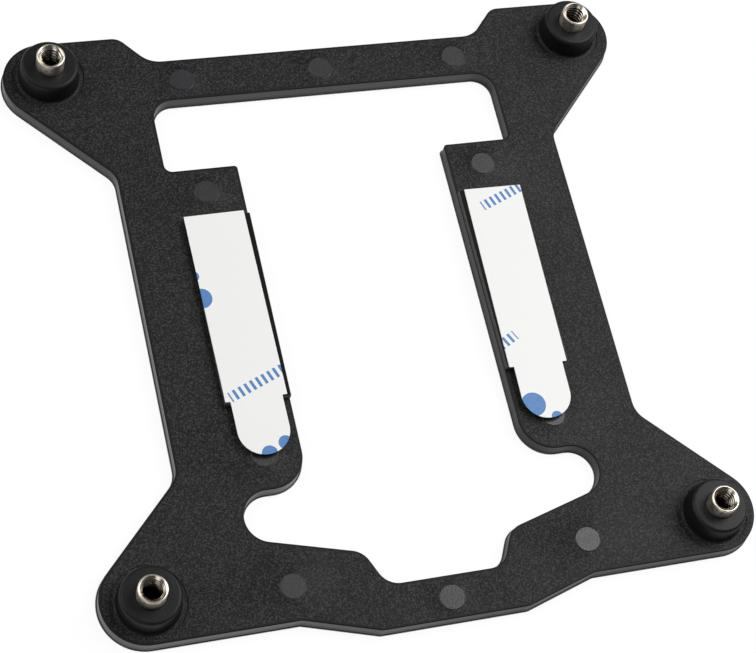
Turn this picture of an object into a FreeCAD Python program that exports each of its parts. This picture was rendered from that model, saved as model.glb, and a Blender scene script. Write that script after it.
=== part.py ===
import FreeCAD, Part
import math
import os
import Sketcher

# CPU cooler backplate, in millimetres: a moulded frame that lies behind the mainboard and
# holds four threaded sleeves, with an adhesive foam pad and its release liner on each arm.
# The origin is the centre of the square of sleeves, on the plate's underside.
# +Z points to the mainboard, +Y to the wide rail and -Y to the bar with the tongue.

doc = FreeCAD.newDocument("CpuCoolerBackplate")
sheet = doc.addObject("Spreadsheet::Sheet", "Sizes")

dimensions = {
    # Square of sleeves, the same as the square of holes in the mainboard
    "sleeve_pitch": 78.0,
    # Moulded plate
    "plate_thickness": 2.0,
    "edge_break": 0.2,
    # Lobe round each sleeve: the edge past the sleeves, and how far the arc's centre stands
    # out from the sleeve
    "lobe_margin": 5.5,
    "lobe_radius": 6.0,
    "upper_lobe_shift": 0.4,
    "lower_lobe_shift": 0.25,
    # Upper rail, set back between the lobes
    "rail_drop": 4.4,
    "rail_width": 6.53,
    "recess_half": 24.45,
    "recess_slope": 3.85,
    "recess_inner_radius": 3.9,
    "recess_outer_radius": 2.3,
    # Window under the rail
    "window_half": 25.5,
    "window_bottom": 22.1,
    "window_top_radius": 3.0,
    "window_bottom_radius": 1.1,
    # Arms, with the channel between them and the waist outside them
    "channel_half": 15.3,
    "arm_width": 17.03,
    "arm_head_radius": 0.5,
    "arm_toe_radius": 4.7,
    "waist_top": 22.4,
    "waist_top_radius": 3.35,
    "waist_bottom": 22.8,
    "waist_bottom_radius": 3.6,
    # Hooked corners of the window, under the arms: how far the hook's centre stands past the
    # arm's inner edge, and the arm's toe from the mouth of the notch below
    "hook_reach": 5.9,
    "hook_opening": 10.35,
    "hook_radius": 3.6,
    # Bottom bar, with the tongue outside and the notch inside
    "tongue_root_half": 20.15,
    "tongue_half": 10.1,
    "tongue_drop": 3.05,
    "tongue_radius": 1.0,
    "bar_width": 5.9,
    "notch_half": 8.05,
    "notch_slope": 2.25,
    "notch_depth": 4.95,
    "notch_radius": 3.0,
    # Boss round each sleeve, with its moulding draft
    "boss_foot_radius": 4.1,
    "boss_top_radius": 4.0,
    "boss_height": 3.2,
    "boss_rim_round": 0.38,
    "boss_foot_flare": 0.28,
    # Shallow sunk ring round the boss, where the mould's insert stands a little proud
    "insert_reach": 0.85,
    "insert_depth": 0.12,
    # Ejector marks, discs that stand a little proud of the plate's upper face: how far their
    # columns stand past the arms' inner edges, and each row inside the edge that it follows
    "mark_radius": 1.72,
    "mark_height": 0.08,
    "mark_reach": 5.1,
    "mark_rail_inset": 3.18,
    "mark_arm_head_inset": 3.7,
    "mark_arm_toe_inset": 4.9,
    "mark_bar_inset": 4.65,
    "mark_tongue_inset": 2.85,
    # Threaded sleeve, bored to the tapping size of an M3 thread
    "sleeve_radius": 1.95,
    "sleeve_stand": 2.3,
    "sleeve_bore_radius": 1.25,
    "sleeve_mouth_radius": 1.6,
    "sleeve_edge_chamfer": 0.12,
    "sleeve_clearance": 0.02,
    # Hexagonal head under the sleeve, in its pocket in the underside
    "head_across_flats": 6.0,
    "head_thickness": 1.4,
    "head_recess": 0.1,
    "head_chamfer": 0.15,
    # Foam pads on the arms
    "pad_width": 9.0,
    "pad_length": 28.0,
    "pad_thickness": 0.9,
    "pad_inset": 0.1,
    # Release liners on the pads, each laid a little askew, with a narrower tab
    "liner_width": 8.6,
    "liner_length": 28.1,
    "liner_thickness": 0.1,
    "liner_shift": 0.2,
    "liner_left_rise": 0.3,
    "liner_right_rise": -0.15,
    "liner_left_turn": 0.6,
    "liner_right_turn": -1.0,
    "tab_width": 7.1,
    "tab_length": 8.05,
}
for row, (alias, value) in enumerate(dimensions.items(), start=1):
    sheet.set(f"A{row}", alias)
    sheet.set(f"B{row}", str(value))
    sheet.setAlias(f"B{row}", alias)
doc.recompute()

# Levels and edges that several pieces share, as expressions on the sheet
half_pitch = "Sizes.sleeve_pitch / 2"
plate_top = "Sizes.plate_thickness"
boss_top = f"({plate_top} + Sizes.boss_height)"
boss_foot = f"({plate_top} - Sizes.insert_depth)"
lobe_edge = f"({half_pitch} + Sizes.lobe_margin)"
rail_top = f"({lobe_edge} - Sizes.rail_drop)"
window_top = f"({rail_top} - Sizes.rail_width)"
tongue_edge = f"({lobe_edge} + Sizes.tongue_drop)"
notch_bottom = f"({tongue_edge} - Sizes.bar_width)"
notch_mouth = f"({notch_bottom} - Sizes.notch_depth)"
arm_toe = f"({notch_mouth} - Sizes.hook_opening)"
waist_half = "(Sizes.channel_half + Sizes.arm_width)"
hook_centre = "(Sizes.channel_half + Sizes.hook_reach)"
mark_column = "(Sizes.channel_half + Sizes.mark_reach)"
pad_centre = "(Sizes.channel_half + Sizes.pad_inset + Sizes.pad_width / 2)"
tab_centre = "-(Sizes.liner_length / 2 + Sizes.tab_length - Sizes.tab_width / 2)"


def origin_plane(body, role):
    """Find one of a body's own origin planes."""
    for feature in body.Origin.OriginFeatures:
        if feature.Role == role:
            return feature


def new_body(name):
    """Start a piece whose label is the name of its file."""
    body = doc.addObject("PartDesign::Body", name)
    body.Label = name
    return body


def place(feature, path, x="0", y="0", z="0"):
    """Tie a placement's base point to the sheet."""
    feature.setExpression(f"{path}.Base.x", x)
    feature.setExpression(f"{path}.Base.y", y)
    feature.setExpression(f"{path}.Base.z", z)


def level_sketch(body, name, level="0"):
    """Start a sketch that lies level, at a height over the body's base plane."""
    sketch = body.newObject("Sketcher::SketchObject", name)
    sketch.AttachmentSupport = [(origin_plane(body, "XY_Plane"), "")]
    sketch.MapMode = "FlatFace"
    place(sketch, "AttachmentOffset", z=level)
    return sketch


def primitive(body, kind, name, x="0", y="0", z="0", **sizes):
    """Add or cut an upright primitive whose sizes and place are tied to the sheet."""
    feature = body.newObject(f"PartDesign::{kind}", name)
    feature.AttachmentSupport = [(origin_plane(body, "XY_Plane"), "")]
    feature.MapMode = "FlatFace"
    place(feature, "AttachmentOffset", x, y, z)
    for size, expression in sizes.items():
        feature.setExpression(size, expression)
    return feature


def extrude(body, name, sketch, length):
    """Pad a sketch upwards."""
    feature = body.newObject("PartDesign::Pad", name)
    feature.Profile = sketch
    feature.setExpression("Length", length)
    return feature


def dress(body, kind, name, base, edges, property_name, size):
    """Round or chamfer some edges of a feature."""
    feature = body.newObject(f"PartDesign::{kind}", name)
    feature.Base = (base, edges)
    feature.setExpression(property_name, size)
    return feature


def dimension(sketch, kind, *geometry, size):
    """Add a dimension to a sketch and tie it to the sheet."""
    value = float(sketch.evalExpression(size))
    index = sketch.addConstraint(Sketcher.Constraint(kind, *geometry, value))
    sketch.setExpression(f"Constraints[{index}]", size)


# An outline is a closed round of stations joined by straight runs. A corner is where two
# runs would meet, and has a radius unless it lies on the axis of symmetry. A lobe is an arc
# that is tangent to a level run and to a slanted run, and only its centre's x is given: the
# slanted run comes from the station one step back or one step on.
def corner(x, y, radius=None):
    return {"x": x, "y": y, "radius": radius}


def lobe(centre_x, level, radius, slanted_from):
    return {"centre_x": centre_x, "y": level, "radius": radius, "slanted_from": slanted_from}


def lobe_corner(sketch, station, through):
    """Find where the level run of a lobe would meet its slanted run."""
    radius = sketch.evalExpression(station["radius"])
    level = sketch.evalExpression(station["y"])
    side = math.copysign(1, level - through.y)
    centre = FreeCAD.Vector(sketch.evalExpression(station["centre_x"]), level - side * radius)
    reach = centre - through
    angle = math.atan2(reach.y, reach.x) - side * math.asin(radius / reach.Length)
    return FreeCAD.Vector(through.x + (level - through.y) / math.tan(angle), level)


def station_points(sketch, stations):
    """Work out where the runs of an outline would meet if nothing were rounded."""
    points = []
    for station in stations:
        x = sketch.evalExpression(station.get("x", "0"))
        points.append(FreeCAD.Vector(x, sketch.evalExpression(station["y"])))
    for index, station in enumerate(stations):
        if "centre_x" in station:
            through = points[(index + station["slanted_from"]) % len(points)]
            points[index] = lobe_corner(sketch, station, through)
    return points


def rounded_corner(before, point, after, radius):
    """Give the arc that rounds a corner, and which of its ends (1 or 2) comes first."""
    arriving = (before - point).normalize()
    leaving = (after - point).normalize()
    half_angle = arriving.getAngle(leaving) / 2
    centre = point + (arriving + leaving).normalize() * (radius / math.sin(half_angle))
    reach = radius / math.tan(half_angle)
    first = point + arriving * reach - centre
    last = point + leaving * reach - centre
    turns_left = arriving.cross(leaving).z < 0
    if not turns_left:
        first, last = last, first
    start_angle = math.atan2(first.y, first.x)
    end_angle = math.atan2(last.y, last.x)
    if end_angle < start_angle:
        end_angle += 2 * math.pi
    circle = Part.Circle(centre, FreeCAD.Vector(0, 0, 1), radius)
    return Part.ArcOfCircle(circle, start_angle, end_angle), 1 if turns_left else 2


def draw_outline(sketch, stations):
    """Draw a closed outline of tangent runs and arcs, and tie every size to the sheet."""
    points = station_points(sketch, stations)
    count = len(stations)
    arcs = []
    for index, station in enumerate(stations):
        if station["radius"] is None:
            arcs.append(None)
            continue
        radius = sketch.evalExpression(station["radius"])
        after = points[(index + 1) % count]
        arcs.append(rounded_corner(points[index - 1], points[index], after, radius))

    runs = []
    for index in range(count):
        start = points[index]
        end = points[(index + 1) % count]
        if arcs[index]:
            arc, first = arcs[index]
            start = arc.EndPoint if first == 1 else arc.StartPoint
        if arcs[(index + 1) % count]:
            arc, first = arcs[(index + 1) % count]
            end = arc.StartPoint if first == 1 else arc.EndPoint
        runs.append(sketch.addGeometry(Part.LineSegment(start, end)))

    for index, station in enumerate(stations):
        arriving = runs[index - 1]
        leaving = runs[index]
        if arcs[index] is None:
            sketch.addConstraint(Sketcher.Constraint("Coincident", arriving, 2, leaving, 1))
            sketch.addConstraint(Sketcher.Constraint("PointOnObject", leaving, 1, -2))
            continue
        shape, first = arcs[index]
        arc = sketch.addGeometry(shape)
        sketch.addConstraint(Sketcher.Constraint("Tangent", arriving, 2, arc, first))
        sketch.addConstraint(Sketcher.Constraint("Tangent", arc, 3 - first, leaving, 1))
        dimension(sketch, "Radius", arc, size=station["radius"])
        if "centre_x" in station:
            dimension(sketch, "DistanceX", -1, 1, arc, 3, size=station["centre_x"])
            continue
        mark = sketch.addGeometry(Part.Point(points[index]), True)
        sketch.addConstraint(Sketcher.Constraint("PointOnObject", mark, 1, arriving))
        sketch.addConstraint(Sketcher.Constraint("PointOnObject", mark, 1, leaving))
        dimension(sketch, "DistanceX", -1, 1, mark, 1, size=station["x"])
        dimension(sketch, "DistanceY", -1, 1, mark, 1, size=station["y"])

    for index, station in enumerate(stations):
        following = stations[(index + 1) % count]
        both_placed = all("x" in end and end["radius"] for end in (station, following))
        if station["y"] == following["y"] and not both_placed:
            sketch.addConstraint(Sketcher.Constraint("Horizontal", runs[index]))


def edges_of_face(shape, level):
    """Name the edges of the widest level face at a height."""
    faces = [face for face in shape.Faces if abs(face.CenterOfMass.z - level) < 1e-6]
    widest = max(faces, key=lambda face: face.Area)
    names = []
    for number, edge in enumerate(shape.Edges, start=1):
        if any(edge.isSame(other) for other in widest.Edges):
            names.append(f"Edge{number}")
    return names


def circles(shape, level, radius):
    """Name the full circles of one radius at a height."""
    names = []
    for number, edge in enumerate(shape.Edges, start=1):
        curve = edge.Curve
        if not edge.isClosed() or not isinstance(curve, Part.Circle):
            continue
        if abs(curve.Radius - radius) < 1e-6 and abs(curve.Center.z - level) < 1e-6:
            names.append(f"Edge{number}")
    return names


def size_of(expression):
    """Give the number that an expression on the sheet comes to."""
    return float(sheet.evalExpression(expression.replace("Sizes.", "")))


# Moulded frame
frame_outline = [
    # Upper rail, and the step up to the upper lobe
    corner("0", rail_top),
    corner("Sizes.recess_half", rail_top, "Sizes.recess_inner_radius"),
    corner("Sizes.recess_half + Sizes.recess_slope", lobe_edge, "Sizes.recess_outer_radius"),
    lobe(f"{half_pitch} + Sizes.upper_lobe_shift", lobe_edge, "Sizes.lobe_radius", 1),
    # Waist, and the lower lobe
    corner(waist_half, "Sizes.waist_top", "Sizes.waist_top_radius"),
    corner(waist_half, "-Sizes.waist_bottom", "Sizes.waist_bottom_radius"),
    lobe(f"{half_pitch} + Sizes.lower_lobe_shift", f"-{lobe_edge}", "Sizes.lobe_radius", -1),
    # Tongue, outside
    corner("Sizes.tongue_root_half", f"-{lobe_edge}", "Sizes.tongue_radius"),
    corner("Sizes.tongue_half", f"-{tongue_edge}", "Sizes.tongue_radius"),
    corner("0", f"-{tongue_edge}"),
    # Notch, inside, and the hook under the arm
    corner("0", f"-{notch_bottom}"),
    corner("Sizes.notch_half", f"-{notch_bottom}", "Sizes.notch_radius"),
    corner("Sizes.notch_half + Sizes.notch_slope", f"-{notch_mouth}", "Sizes.notch_radius"),
    lobe(hook_centre, f"-{arm_toe}", "Sizes.hook_radius", -1),
    # Inside of the arm, and the window under the rail
    corner("Sizes.channel_half", f"-{arm_toe}", "Sizes.arm_toe_radius"),
    corner("Sizes.channel_half", "Sizes.window_bottom", "Sizes.arm_head_radius"),
    corner("Sizes.window_half", "Sizes.window_bottom", "Sizes.window_bottom_radius"),
    corner("Sizes.window_half", window_top, "Sizes.window_top_radius"),
    corner("0", window_top),
]


def make_frame():
    """Mould the frame: the right half and its mirror, then bosses, seats and marks."""
    body = new_body("frame")
    outline = level_sketch(body, "HalfOutline")
    draw_outline(outline, frame_outline)
    plate = extrude(body, "HalfPlate", outline, plate_top)
    mirrored = body.newObject("PartDesign::Mirrored", "WholePlate")
    mirrored.Originals = [plate]
    mirrored.MirrorPlane = (origin_plane(body, "YZ_Plane"), [""])
    body.Tip = mirrored
    doc.recompute()

    rim = edges_of_face(mirrored.Shape, size_of(plate_top))
    dress(body, "Chamfer", "UpperEdges", mirrored, rim, "Size", "Sizes.edge_break")
    doc.recompute()

    # Each corner has a boss in its sunk ring, a bore for the sleeve and a hexagonal seat for
    # the sleeve's head
    ring = primitive(
        body, "SubtractiveCylinder", "InsertRing", half_pitch, half_pitch, boss_foot,
        Radius="Sizes.boss_foot_radius + Sizes.insert_reach",
        Height="Sizes.insert_depth",
    )
    boss = primitive(
        body, "AdditiveCone", "Boss", half_pitch, half_pitch, boss_foot,
        Radius1="Sizes.boss_foot_radius",
        Radius2="Sizes.boss_top_radius",
        Height="Sizes.insert_depth + Sizes.boss_height",
    )
    bore = primitive(
        body, "SubtractiveCylinder", "SleeveBore", half_pitch, half_pitch, "0",
        Radius="Sizes.sleeve_radius + Sizes.sleeve_clearance",
        Height=boss_top,
    )
    seat = primitive(
        body, "SubtractivePrism", "HeadSeat", half_pitch, half_pitch, "0",
        Circumradius="(Sizes.head_across_flats / 2 + Sizes.sleeve_clearance) / cos(30 deg)",
        Height="Sizes.head_recess + Sizes.head_thickness",
    )
    across = body.newObject("PartDesign::Mirrored", "AcrossWidth")
    across.MirrorPlane = (origin_plane(body, "YZ_Plane"), [""])
    along = body.newObject("PartDesign::Mirrored", "AlongLength")
    along.MirrorPlane = (origin_plane(body, "XZ_Plane"), [""])
    corners = body.newObject("PartDesign::MultiTransform", "FourCorners")
    corners.Originals = [ring, boss, bore, seat]
    corners.Transformations = [across, along]
    body.Tip = corners
    doc.recompute()

    feet = circles(corners.Shape, size_of(boss_foot), size_of("Sizes.boss_foot_radius"))
    flared = dress(body, "Chamfer", "BossFeet", corners, feet, "Size", "Sizes.boss_foot_flare")
    doc.recompute()
    rims = circles(flared.Shape, size_of(boss_top), size_of("Sizes.boss_top_radius"))
    dress(body, "Fillet", "BossRims", flared, rims, "Radius", "Sizes.boss_rim_round")
    doc.recompute()

    marks = level_sketch(body, "EjectorMarks", plate_top)
    draw_marks(marks)
    extrude(body, "EjectorMarkDiscs", marks, "Sizes.mark_height")
    doc.recompute()
    return body


def draw_marks(sketch):
    """Draw the round marks of the ejector pins, in rows on the rail, arms and bar."""
    rows = {
        f"{window_top} + Sizes.mark_rail_inset": (-1, 0, 1),
        "Sizes.window_bottom - Sizes.mark_arm_head_inset": (-1, 1),
        f"-({arm_toe} - Sizes.mark_arm_toe_inset)": (-1, 1),
        f"-({lobe_edge} - Sizes.mark_bar_inset)": (-1, 1),
        f"-({tongue_edge} - Sizes.mark_tongue_inset)": (0,),
    }
    radius = size_of("Sizes.mark_radius")
    for row, sides in rows.items():
        for side in sides:
            column = f"{side} * {mark_column}"
            centre = FreeCAD.Vector(size_of(column), size_of(row))
            disc = sketch.addGeometry(Part.Circle(centre, FreeCAD.Vector(0, 0, 1), radius))
            dimension(sketch, "Radius", disc, size="Sizes.mark_radius")
            dimension(sketch, "DistanceY", -1, 1, disc, 3, size=row)
            if side:
                dimension(sketch, "DistanceX", -1, 1, disc, 3, size=column)
            else:
                sketch.addConstraint(Sketcher.Constraint("PointOnObject", disc, 3, -2))


def make_sleeve(name, x_side, y_side):
    """Turn a sleeve from hexagonal bar: head below, plain shank above, bored right through."""
    body = new_body(name)
    shank_top = f"({boss_top} + Sizes.sleeve_stand - Sizes.head_recess)"
    head = primitive(
        body, "AdditivePrism", "Head",
        Circumradius="Sizes.head_across_flats / 2 / cos(30 deg)",
        Height="Sizes.head_thickness",
    )
    doc.recompute()
    edges = edges_of_face(head.Shape, 0)
    dress(body, "Chamfer", "HeadEdges", head, edges, "Size", "Sizes.head_chamfer")
    shank = primitive(
        body, "AdditiveCylinder", "Shank",
        Radius="Sizes.sleeve_radius",
        Height=shank_top,
    )
    doc.recompute()
    edge = circles(shank.Shape, size_of(shank_top), size_of("Sizes.sleeve_radius"))
    dress(body, "Chamfer", "ShankEdge", shank, edge, "Size", "Sizes.sleeve_edge_chamfer")
    doc.recompute()

    mouth = level_sketch(body, "BoreCentre", shank_top)
    centre = mouth.addGeometry(
        Part.Circle(FreeCAD.Vector(), FreeCAD.Vector(0, 0, 1), size_of("Sizes.sleeve_bore_radius"))
    )
    mouth.addConstraint(Sketcher.Constraint("Coincident", centre, 3, -1, 1))
    dimension(mouth, "Radius", centre, size="Sizes.sleeve_bore_radius")
    doc.recompute()
    bore = body.newObject("PartDesign::Hole", "TappedBore")
    bore.Profile = mouth
    bore.DepthType = "ThroughAll"
    bore.HoleCutType = "Countersink"
    bore.setExpression("Diameter", "2 * Sizes.sleeve_bore_radius")
    bore.setExpression("HoleCutDiameter", "2 * Sizes.sleeve_mouth_radius")
    bore.HoleCutCountersinkAngle = 90
    doc.recompute()
    place(
        body, "Placement",
        f"{x_side} * {half_pitch}", f"{y_side} * {half_pitch}", "Sizes.head_recess",
    )
    return body


def draw_runs(sketch, ends, closed):
    """Draw straight runs from each point to the next."""
    count = len(ends) if closed else len(ends) - 1
    runs = []
    for index in range(count):
        run = Part.LineSegment(ends[index], ends[(index + 1) % len(ends)])
        runs.append(sketch.addGeometry(run))
    for index in range(count if closed else count - 1):
        following = runs[(index + 1) % count]
        sketch.addConstraint(Sketcher.Constraint("Coincident", runs[index], 2, following, 1))
    return runs


def draw_rectangle(sketch, width, length):
    """Draw a rectangle about the sketch's origin."""
    x = size_of(width) / 2
    y = size_of(length) / 2
    ends = [FreeCAD.Vector(*end) for end in ((-x, -y), (x, -y), (x, y), (-x, y))]
    bottom, right, top, left = draw_runs(sketch, ends, closed=True)
    for side in (bottom, top):
        sketch.addConstraint(Sketcher.Constraint("Horizontal", side))
    for side in (right, left):
        sketch.addConstraint(Sketcher.Constraint("Vertical", side))
    sketch.addConstraint(Sketcher.Constraint("Symmetric", bottom, 1, top, 1, -1, 1))
    dimension(sketch, "DistanceX", bottom, 1, bottom, 2, size=width)
    dimension(sketch, "DistanceY", right, 1, right, 2, size=length)


def make_pad(side_name, x_side):
    """Cut a foam pad, laid along the inner edge of its arm."""
    body = new_body(f"foam_pad_{side_name}")
    shape = level_sketch(body, "PadShape")
    draw_rectangle(shape, "Sizes.pad_width", "Sizes.pad_length")
    extrude(body, "Foam", shape, "Sizes.pad_thickness")
    place(body, "Placement", f"{x_side} * {pad_centre}", "0", plate_top)
    doc.recompute()
    return body


def draw_liner(sketch):
    """Draw a liner: a rectangle about the origin, and below it a narrower tab, round-ended."""
    x = size_of("Sizes.liner_width / 2")
    y = size_of("Sizes.liner_length / 2")
    tab_x = size_of("Sizes.tab_width / 2")
    tab_y = size_of(tab_centre)
    ends = (
        (tab_x, tab_y), (tab_x, -y), (x, -y), (x, y), (-x, y), (-x, -y), (-tab_x, -y), (-tab_x, tab_y),
    )
    runs = draw_runs(sketch, [FreeCAD.Vector(*end) for end in ends], closed=False)
    tab_right, shoulder_right, right, top, left, shoulder_left, tab_left = runs
    circle = Part.Circle(FreeCAD.Vector(0, tab_y), FreeCAD.Vector(0, 0, 1), tab_x)
    end = sketch.addGeometry(Part.ArcOfCircle(circle, math.pi, 2 * math.pi))
    sketch.addConstraint(Sketcher.Constraint("Tangent", tab_left, 2, end, 1))
    sketch.addConstraint(Sketcher.Constraint("Tangent", end, 2, tab_right, 1))
    for side in (tab_right, right, left, tab_left):
        sketch.addConstraint(Sketcher.Constraint("Vertical", side))
    for side in (shoulder_right, shoulder_left):
        sketch.addConstraint(Sketcher.Constraint("Horizontal", side))
    sketch.addConstraint(Sketcher.Constraint("Symmetric", top, 1, top, 2, -2))
    sketch.addConstraint(Sketcher.Constraint("Symmetric", tab_right, 2, tab_left, 1, -2))
    dimension(sketch, "DistanceX", left, 1, right, 1, size="Sizes.liner_width")
    dimension(sketch, "DistanceY", right, 1, right, 2, size="Sizes.liner_length")
    dimension(sketch, "DistanceY", -1, 1, right, 2, size="Sizes.liner_length / 2")
    dimension(sketch, "DistanceX", tab_left, 1, tab_right, 2, size="Sizes.tab_width")
    dimension(sketch, "DistanceY", -1, 1, end, 3, size=tab_centre)


def make_liner(side_name, x_side):
    """Cut a release liner, laid on its foam pad a little askew."""
    body = new_body(f"release_liner_{side_name}")
    shape = level_sketch(body, "LinerShape")
    draw_liner(shape)
    extrude(body, "Paper", shape, "Sizes.liner_thickness")
    place(
        body, "Placement",
        f"{x_side} * ({pad_centre} + Sizes.liner_shift)",
        f"Sizes.liner_{side_name}_rise",
        f"{plate_top} + Sizes.pad_thickness",
    )
    body.setExpression("Placement.Rotation.Angle", f"Sizes.liner_{side_name}_turn * 1 deg")
    doc.recompute()
    return body


bodies = [make_frame()]
for row_name, y_side in (("upper", 1), ("lower", -1)):
    for side_name, x_side in (("left", -1), ("right", 1)):
        bodies.append(make_sleeve(f"threaded_sleeve_{row_name}_{side_name}", x_side, y_side))
for side_name, x_side in (("left", -1), ("right", 1)):
    bodies.append(make_pad(side_name, x_side))
    bodies.append(make_liner(side_name, x_side))

doc.recompute()
for item in doc.Objects:
    if "Invalid" in item.State or "Error" in item.State:
        raise RuntimeError(f"{item.Label} failed: {item.State}")
os.makedirs("parts", exist_ok=True)
for body in bodies:
    if body.Shape.isNull() or not body.Shape.isValid():
        raise RuntimeError(f"{body.Label} has no valid shape")
    body.Shape.exportStep(f"parts/{body.Label}.step")
    print(body.Label, len(body.Shape.Solids), round(body.Shape.Volume, 3), body.Shape.BoundBox)
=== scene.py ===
import math

import bmesh
import bpy
import numpy as np
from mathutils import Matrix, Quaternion, Vector
from mathutils.geometry import delaunay_2d_cdt


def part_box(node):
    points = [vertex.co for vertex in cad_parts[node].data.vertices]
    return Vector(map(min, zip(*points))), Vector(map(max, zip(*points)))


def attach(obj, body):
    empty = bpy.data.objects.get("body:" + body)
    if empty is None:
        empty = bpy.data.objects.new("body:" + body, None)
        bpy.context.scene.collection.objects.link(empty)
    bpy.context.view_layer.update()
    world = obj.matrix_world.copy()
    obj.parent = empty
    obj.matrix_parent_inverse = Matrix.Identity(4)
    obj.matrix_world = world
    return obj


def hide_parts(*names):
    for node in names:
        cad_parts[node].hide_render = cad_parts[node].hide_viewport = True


# CPU cooler backplate: the looks of the moulding, the four threaded sleeves, the two foam
# pads and their release liners. All sizes are in millimetres until a mesh is made.

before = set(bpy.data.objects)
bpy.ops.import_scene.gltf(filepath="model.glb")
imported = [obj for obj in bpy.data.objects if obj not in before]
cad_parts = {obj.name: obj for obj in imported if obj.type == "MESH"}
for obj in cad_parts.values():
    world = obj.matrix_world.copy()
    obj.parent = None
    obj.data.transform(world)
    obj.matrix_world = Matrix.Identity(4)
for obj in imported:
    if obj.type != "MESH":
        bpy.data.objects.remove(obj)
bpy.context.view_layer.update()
mm = 0.001
corners = ("upper_left", "upper_right", "lower_left", "lower_right")
sides = ("left", "right")


def boxOf(node):
    # lowest and highest corner of a node, in millimetres
    low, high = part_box(node)
    return np.array(low) / mm, np.array(high) / mm


sleeveCentres = {corner: sum(boxOf(f"threaded_sleeve_{corner}")) / 2 for corner in corners}
# a sleeve's axis in metres, for patterns that fold left onto right and below onto above
sleeveAxis = (*(abs(sleeveCentres["upper_right"][:2]) * mm), 0)
print("frame loaded:", len(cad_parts), "nodes")


# Meshes from whole arrays

meshing = {
    "around": 96, "sharpAngle": 38,
    "weld": 2e-4, "gap": 1e-3,  # points nearer than this are one, before and after bending
    "nearest": 1e-7,  # the triangulation's own limit for that
    "rowShare": 0.866, "clearShare": 0.35,  # of a lattice's spacing: row to row, row to ring
}


def surface(points, finish=0):
    # a smooth patch from a grid of points (rows, columns, 3): a quad for each cell, with the
    # last column joined to the first
    rows, columns = points.shape[:2]
    here = np.arange((rows - 1) * columns).reshape(rows - 1, columns)
    beside = np.roll(here, -1, 1)
    quads = np.stack((here, beside, beside + columns, here + columns), 2).reshape(-1, 4)
    return points.reshape(-1, 3), quads, finish, True


def around(count):
    # the angles of one turn in even steps
    return np.linspace(0, 2 * np.pi, count, endpoint=False)


def circle(centre, radius, count=meshing["around"]):
    # points round a centre; the radius is one number, or one for each angle
    angle = around(count)
    return np.stack((centre[0] + radius * np.cos(angle), centre[1] + radius * np.sin(angle)), 1)


def hexReach(count=meshing["around"]):
    # the radius of a hexagon with an apothem of 1 is one over the cosine of the angle from the
    # nearest flat's middle; corners lie at whole sixths of a turn
    return 1 / np.cos(np.mod(around(count), np.pi / 3) - np.pi / 6)


def spun(rows, centre, count=meshing["around"], finish=0):
    # rows of (radius, height) go round the upright axis through the centre; both are one
    # number, or one for each angle
    rings = [np.column_stack((circle(centre, radius, count), height * np.ones(count)))
             for radius, height in rows]
    return surface(np.stack(rings), finish)


def arc(centre, radius, start, end, steps):
    # points of an arc in a profile, from one angle to another, in degrees
    angle = np.radians(np.linspace(start, end, steps + 1))
    return [(centre[0] + radius * math.cos(a), centre[1] + radius * math.sin(a)) for a in angle]


def oddCrossings(points, rings):
    # a point is inside where a ray to the right crosses the rings' edges an odd number of times
    start = np.concatenate(rings)
    end = np.concatenate([np.roll(ring, -1, 0) for ring in rings])
    px, py = points[:, :1], points[:, 1:]
    spans = (start[:, 1] > py) != (end[:, 1] > py)
    rise = np.where(end[:, 1] == start[:, 1], 1.0, end[:, 1] - start[:, 1])
    crossing = start[:, 0] + (py - start[:, 1]) * (end[:, 0] - start[:, 0]) / rise
    return (spans & (px < crossing)).sum(1) % 2 == 1


def levelFill(rings, height, finish=0, spacing=None):
    # triangles between rings at one height, shaded flat; with a spacing, points of a
    # triangular lattice are added and the patch is smooth, for bending later
    flat = np.concatenate(rings)
    edges, first = [], 0
    for ring in rings:
        here = first + np.arange(len(ring))
        edges.append(np.stack((here, np.roll(here, -1)), 1))
        first += len(ring)
    if spacing:
        # none of these may lie on a ring's straight run, which it would divide
        low, high = flat.min(0) + spacing / 2, flat.max(0)
        x, y = np.meshgrid(np.arange(low[0], high[0], spacing),
                           np.arange(low[1], high[1], spacing * meshing["rowShare"]))
        x[1::2] += spacing / 2
        loose = np.stack((x.ravel(), y.ravel()), 1)
        loose = loose[oddCrossings(loose, rings)]
        gap = np.hypot(*(loose[:, None] - flat[None]).transpose(2, 0, 1)).min(1)
        flat = np.concatenate((flat, loose[gap > spacing * meshing["clearShare"]]))
    made = delaunay_2d_cdt([Vector(point) for point in flat], np.concatenate(edges).tolist(),
                           [], 0, meshing["nearest"])
    flat, faces = np.array([tuple(p) for p in made[0]]), np.array(made[2])
    faces = faces[oddCrossings(flat[faces].mean(1), rings)]
    return np.column_stack((flat, np.full(len(flat), height))), faces, finish, bool(spacing)


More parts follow.
